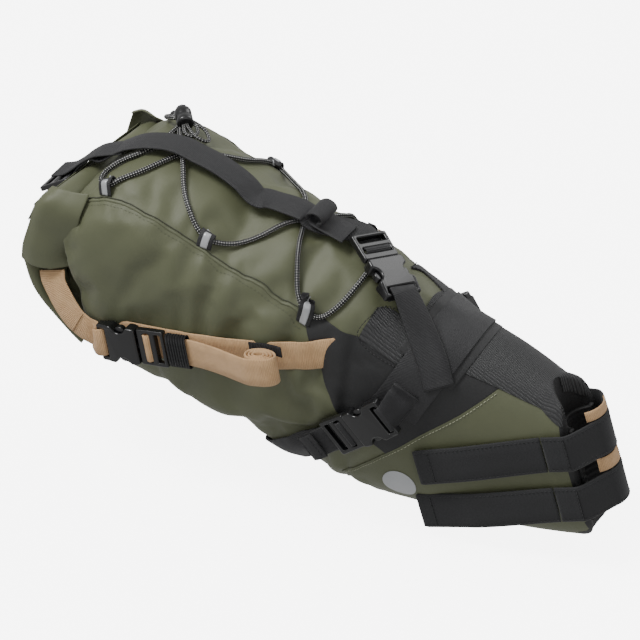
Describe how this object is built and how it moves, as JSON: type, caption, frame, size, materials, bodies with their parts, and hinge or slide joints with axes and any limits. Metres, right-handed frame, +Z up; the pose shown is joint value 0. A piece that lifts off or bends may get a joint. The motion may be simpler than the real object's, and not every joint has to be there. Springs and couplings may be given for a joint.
{
  "type": "saddle bag",
  "caption": "Roll-top seat pack that straps to a bicycle's seatpost and hangs behind the saddle, with side, belly and top straps and a bungee on top.",
  "frame": {"origin": "on the seatpost's axis, within the height of the two seatpost straps", "axes": "+X forward towards the nose, +Y to the bag's left, +Z up as mounted; the seatpost's axis leans back 17 degrees from +Z in the X-Z plane"},
  "size_m": [0.5207, 0.2194, 0.2725],
  "materials": {
    "shell_fabric": "matte",
    "panel_fabric": "matte",
    "coarse_fabric": "matte",
    "tan_webbing": "matte",
    "black_webbing": "matte",
    "hook_and_loop": "matte",
    "pad_rubber": "matte",
    "keeper_elastic": "matte",
    "bungee_sleeve": "matte",
    "reflective": "satin",
    "stiffener_plastic": "matte",
    "spring_steel": "satin",
    "buckle_plastic": "satin"
  },
  "bodies": {
    "bag": {"base_stiffener": "stiffener_plastic", "belly_buckle_left_female": "buckle_plastic", "belly_buckle_right_female": "buckle_plastic", "belly_strap": "black_webbing", "bungee_cord": "bungee_sleeve", "coarse_patch_left": "coarse_fabric", "coarse_patch_right": "coarse_fabric", "cord_lock_body": "buckle_plastic", "cord_lock_spring": "spring_steel", "cord_loops": "black_webbing", "harness_band": "black_webbing", "loop_keeper_webs": "tan_webbing", "main_bag": "shell_fabric", "mouth_strip": "stiffener_plastic", "nose_top_panel": "coarse_fabric", "rear_plate_lower": "buckle_plastic", "rear_plate_upper": "buckle_plastic", "reflective_disc": "reflective", "reflective_tabs": "reflective", "roll_closure": "shell_fabric", "seatpost_pad": "pad_rubber", "seatpost_strap_lower": "hook_and_loop", "seatpost_strap_upper": "hook_and_loop", "side_buckle_left_female": "buckle_plastic", "side_buckle_right_female": "buckle_plastic", "side_panel_left": "panel_fabric", "side_panel_right": "panel_fabric", "side_strap_front_left": "tan_webbing", "side_strap_front_right": "tan_webbing", "side_strap_rear_left": "tan_webbing", "side_strap_rear_right": "tan_webbing", "top_buckle_female": "buckle_plastic", "top_strap": "black_webbing"},
    "side_buckle_right_plug": {"side_buckle_right_male": "buckle_plastic", "strap_keeper_right": "keeper_elastic", "strap_tail_right": "tan_webbing", "rolled_tail_right": "tan_webbing"},
    "side_buckle_right_prong_a": {"side_buckle_right_arm_a": "buckle_plastic"},
    "side_buckle_right_prong_b": {"side_buckle_right_arm_b": "buckle_plastic"},
    "belly_buckle_right_plug": {"belly_buckle_right_male": "buckle_plastic"},
    "belly_buckle_right_prong_a": {"belly_buckle_right_arm_a": "buckle_plastic"},
    "belly_buckle_right_prong_b": {"belly_buckle_right_arm_b": "buckle_plastic"},
    "side_buckle_left_plug": {"side_buckle_left_male": "buckle_plastic", "strap_keeper_left": "keeper_elastic", "strap_tail_left": "tan_webbing", "rolled_tail_left": "tan_webbing"},
    "side_buckle_left_prong_a": {"side_buckle_left_arm_a": "buckle_plastic"},
    "side_buckle_left_prong_b": {"side_buckle_left_arm_b": "buckle_plastic"},
    "belly_buckle_left_plug": {"belly_buckle_left_male": "buckle_plastic"},
    "belly_buckle_left_prong_a": {"belly_buckle_left_arm_a": "buckle_plastic"},
    "belly_buckle_left_prong_b": {"belly_buckle_left_arm_b": "buckle_plastic"},
    "top_buckle_plug": {"top_buckle_male": "buckle_plastic"},
    "top_buckle_prong_a": {"top_buckle_arm_a": "buckle_plastic"},
    "top_buckle_prong_b": {"top_buckle_arm_b": "buckle_plastic"},
    "strap_flap_upper_end": {"strap_flap_upper": "hook_and_loop"},
    "strap_flap_lower_end": {"strap_flap_lower": "hook_and_loop"},
    "cord_lock_plunger": {"cord_lock_button": "buckle_plastic"}
  },
  "joints": [
    {"name": "side_buckle_right_release", "type": "slide", "parent": "bag", "child": "side_buckle_right_plug", "axis": [0.9848, 0, 0.1736], "range_m": [0, 0.028], "deforming": ["side_buckle_right_arm_a", "side_buckle_right_arm_b"]},
    {"name": "side_buckle_right_squeeze_a", "type": "hinge", "parent": "side_buckle_right_plug", "child": "side_buckle_right_prong_a", "pos_m": [-0.36267, -0.08877, 0.04827], "axis": [0, 1, 0], "range_deg": [0, 12], "stiffness_Nm_per_rad": 0.25},
    {"name": "side_buckle_right_squeeze_b", "type": "hinge", "parent": "side_buckle_right_plug", "child": "side_buckle_right_prong_b", "pos_m": [-0.36527, -0.08877, 0.06304], "axis": [0, -1, 0], "range_deg": [0, 12], "stiffness_Nm_per_rad": 0.25},
    {"name": "belly_buckle_right_release", "type": "slide", "parent": "bag", "child": "belly_buckle_right_plug", "axis": [-0.788, 0, -0.6157], "range_m": [0, 0.028], "deforming": ["belly_buckle_right_arm_a", "belly_buckle_right_arm_b"]},
    {"name": "belly_buckle_right_squeeze_a", "type": "hinge", "parent": "belly_buckle_right_plug", "child": "belly_buckle_right_prong_a", "pos_m": [-0.17714, -0.08156, 0.03954], "axis": [-0.0664, 0.9942, 0.085], "range_deg": [0, 12], "stiffness_Nm_per_rad": 0.25},
    {"name": "belly_buckle_right_squeeze_b", "type": "hinge", "parent": "belly_buckle_right_plug", "child": "belly_buckle_right_prong_b", "pos_m": [-0.16796, -0.07994, 0.02779], "axis": [0.0664, -0.9942, -0.085], "range_deg": [0, 12], "stiffness_Nm_per_rad": 0.25},
    {"name": "side_buckle_left_release", "type": "slide", "parent": "bag", "child": "side_buckle_left_plug", "axis": [0.9848, 0, 0.1736], "range_m": [0, 0.028], "deforming": ["side_buckle_left_arm_a", "side_buckle_left_arm_b"]},
    {"name": "side_buckle_left_squeeze_a", "type": "hinge", "parent": "side_buckle_left_plug", "child": "side_buckle_left_prong_a", "pos_m": [-0.36527, 0.08863, 0.06304], "axis": [0, -1, 0], "range_deg": [0, 12], "stiffness_Nm_per_rad": 0.25},
    {"name": "side_buckle_left_squeeze_b", "type": "hinge", "parent": "side_buckle_left_plug", "child": "side_buckle_left_prong_b", "pos_m": [-0.36267, 0.08863, 0.04827], "axis": [0, 1, 0], "range_deg": [0, 12], "stiffness_Nm_per_rad": 0.25},
    {"name": "belly_buckle_left_release", "type": "slide", "parent": "bag", "child": "belly_buckle_left_plug", "axis": [-0.788, 0, -0.6157], "range_m": [0, 0.028], "deforming": ["belly_buckle_left_arm_a", "belly_buckle_left_arm_b"]},
    {"name": "belly_buckle_left_squeeze_a", "type": "hinge", "parent": "belly_buckle_left_plug", "child": "belly_buckle_left_prong_a", "pos_m": [-0.16796, 0.07993, 0.02779], "axis": [-0.0664, -0.9942, 0.085], "range_deg": [0, 12], "stiffness_Nm_per_rad": 0.25},
    {"name": "belly_buckle_left_squeeze_b", "type": "hinge", "parent": "belly_buckle_left_plug", "child": "belly_buckle_left_prong_b", "pos_m": [-0.17714, 0.08155, 0.03955], "axis": [0.0664, 0.9942, -0.085], "range_deg": [0, 12], "stiffness_Nm_per_rad": 0.25},
    {"name": "top_buckle_release", "type": "slide", "parent": "bag", "child": "top_buckle_plug", "axis": [-0.7699, 0.5045, 0.3908], "range_m": [0, 0.028], "deforming": ["top_buckle_arm_a", "top_buckle_arm_b"]},
    {"name": "top_buckle_squeeze_a", "type": "hinge", "parent": "top_buckle_plug", "child": "top_buckle_prong_a", "pos_m": [-0.18263, -0.00397, 0.14145], "axis": [-0.4389, 0.0259, -0.8982], "range_deg": [0, 12], "stiffness_Nm_per_rad": 0.25},
    {"name": "top_buckle_squeeze_b", "type": "hinge", "parent": "top_buckle_plug", "child": "top_buckle_prong_b", "pos_m": [-0.18958, -0.01691, 0.14447], "axis": [0.4389, -0.0259, 0.8982], "range_deg": [0, 12], "stiffness_Nm_per_rad": 0.25},
    {"name": "strap_flap_upper_peel", "type": "hinge", "parent": "bag", "child": "strap_flap_upper_end", "pos_m": [-0.02295, -0.03623, -0.00702], "axis": [-0.2924, 0, 0.9563], "range_deg": [0, 150]},
    {"name": "strap_flap_lower_peel", "type": "hinge", "parent": "bag", "child": "strap_flap_lower_end", "pos_m": [-0.02295, -0.03655, -0.00702], "axis": [-0.2924, 0, 0.9563], "range_deg": [0, 150]},
    {"name": "cord_lock_press", "type": "slide", "parent": "bag", "child": "cord_lock_plunger", "axis": [0.6041, -0.7953, -0.0503], "range_m": [0, 0.003], "stiffness_N_per_m": 900, "springref_m": -0.001, "deforming": ["cord_lock_spring"]}
  ],
  "couplings": [
    {"joint": "side_buckle_right_squeeze_b", "follows": "side_buckle_right_squeeze_a", "ratio": 1},
    {"joint": "belly_buckle_right_squeeze_b", "follows": "belly_buckle_right_squeeze_a", "ratio": 1},
    {"joint": "side_buckle_left_squeeze_b", "follows": "side_buckle_left_squeeze_a", "ratio": 1},
    {"joint": "belly_buckle_left_squeeze_b", "follows": "belly_buckle_left_squeeze_a", "ratio": 1},
    {"joint": "top_buckle_squeeze_b", "follows": "top_buckle_squeeze_a", "ratio": 1}
  ]
}
